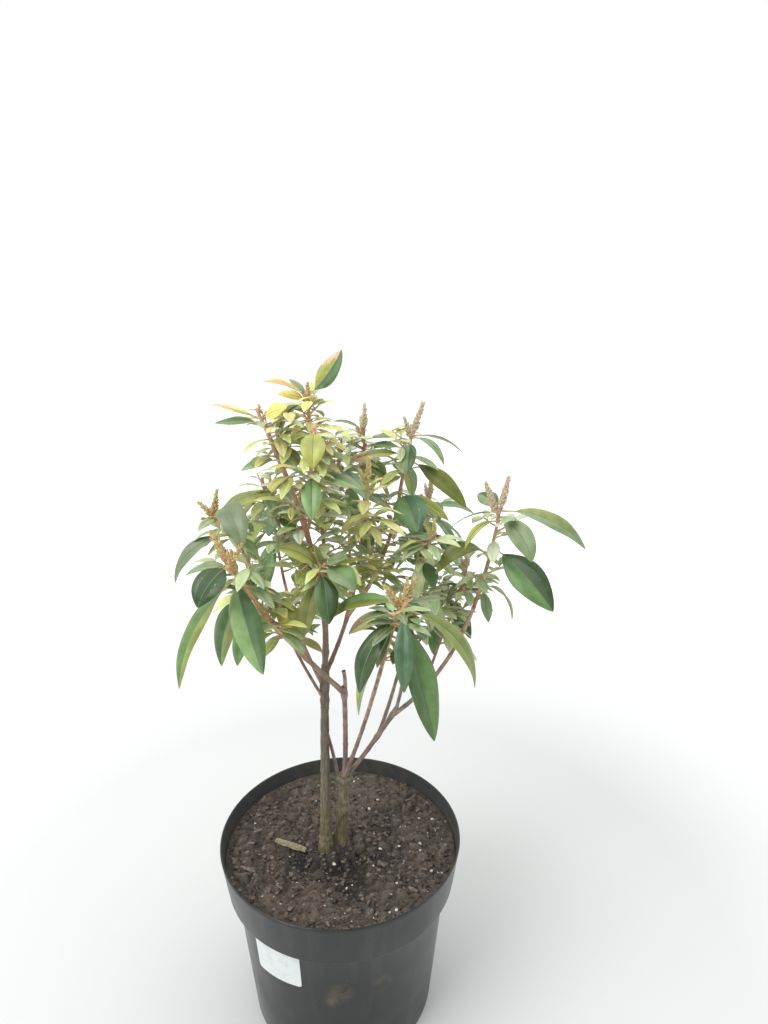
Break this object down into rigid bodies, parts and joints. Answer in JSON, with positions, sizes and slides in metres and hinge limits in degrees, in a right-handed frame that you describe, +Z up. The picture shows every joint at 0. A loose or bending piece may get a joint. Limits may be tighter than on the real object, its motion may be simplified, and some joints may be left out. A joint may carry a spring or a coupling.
{
  "type": "potted mountain laurel shrub",
  "caption": "Young mountain laurel in a round black nursery pot: two forking stems, whorls of evergreen leaves and upright flower bud spikes.",
  "frame": {"origin": "middle of the pot's flat underside", "axes": "+Z up along the pot's axis, -Y towards the viewer of the picture, +X to the viewer's right"},
  "size_m": [0.3067, 0.2489, 0.5779],
  "materials": {
    "pot": "satin",
    "soil": "matte",
    "label": "satin",
    "stem_bark": "matte",
    "bough_bark": "satin",
    "foliage": "satin"
  },
  "bodies": {
    "root": {"bough_back": "bough_bark", "bough_centre": "bough_bark", "bough_centre_top": "bough_bark", "bough_cross": "bough_bark", "bough_front": "bough_bark", "bough_inner_left": "bough_bark", "bough_inner_right": "bough_bark", "bough_left": "bough_bark", "bough_low_left": "bough_bark", "bough_low_right": "bough_bark", "bough_mid_back": "bough_bark", "bough_mid_left": "bough_bark", "bough_mid_right": "bough_bark", "bough_middle": "bough_bark", "bough_rear": "bough_bark", "bough_rear_left": "bough_bark", "bough_rear_right": "bough_bark", "bough_right": "bough_bark", "bough_right_outer": "bough_bark", "bough_tall": "bough_bark", "bough_top": "bough_bark", "bough_upper_left": "bough_bark", "bough_upper_right": "bough_bark", "bough_young": "bough_bark", "cut_stub": "bough_bark", "foliage_back_top": "foliage", "foliage_centre": "foliage", "foliage_centre_top": "foliage", "foliage_front": "foliage", "foliage_inner_left": "foliage", "foliage_inner_right": "foliage", "foliage_left": "foliage", "foliage_low_left": "foliage", "foliage_low_right": "foliage", "foliage_mid_back": "foliage", "foliage_mid_left": "foliage", "foliage_mid_right": "foliage", "foliage_rear": "foliage", "foliage_rear_left": "foliage", "foliage_rear_right": "foliage", "foliage_right": "foliage", "foliage_top": "foliage", "foliage_top_left": "foliage", "foliage_upper_left": "foliage", "foliage_upper_right": "foliage", "foliage_young": "foliage", "label": "label", "pot": "pot", "soil": "soil", "stem_left": "stem_bark", "stem_right": "stem_bark"}
  },
  "joints": []
}
